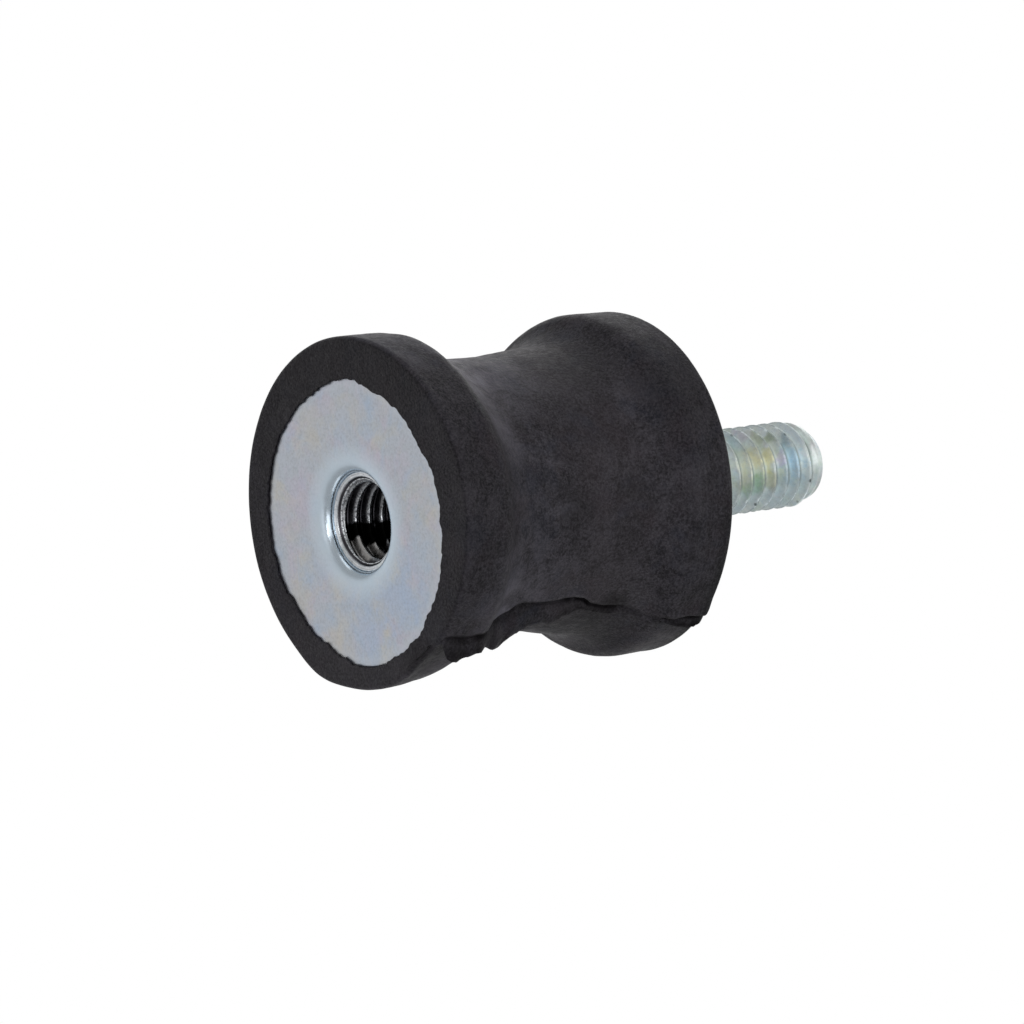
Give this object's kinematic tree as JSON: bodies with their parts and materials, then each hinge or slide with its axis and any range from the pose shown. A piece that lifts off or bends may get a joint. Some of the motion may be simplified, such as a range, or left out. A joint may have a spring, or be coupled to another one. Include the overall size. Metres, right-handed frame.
{
  "type": "bobbin vibration mount",
  "caption": "Waisted rubber bobbin mount bonded between steel end discs, with a tapped hole in one end and a threaded stud on the other, to isolate a machine's vibration.",
  "frame": {"origin": "where the threads' axis meets the plane of the female end face", "axes": "+Z along the threads' axis, from the female face to the stud; -Y is the side the picture shows and +X is the side nearest the mould flash"},
  "size_m": [0.0306, 0.0306, 0.051],
  "materials": {
    "rubber": "matte moulded natural rubber, dusty bloom on the waist",
    "zinc_plate": "satin blue-passivated zinc plate with faint iridescence",
    "zinc_bush": "bright zinc plate on turned steel",
    "zinc_stud": "zinc plate on a rolled thread, passivated to yellow, green and blue"
  },
  "bodies": {
    "root": {"rubber_body": "rubber", "female_end_disc": "zinc_plate", "threaded_bush": "zinc_bush", "male_end_disc": "zinc_plate", "threaded_stud": "zinc_stud"}
  },
  "joints": []
}
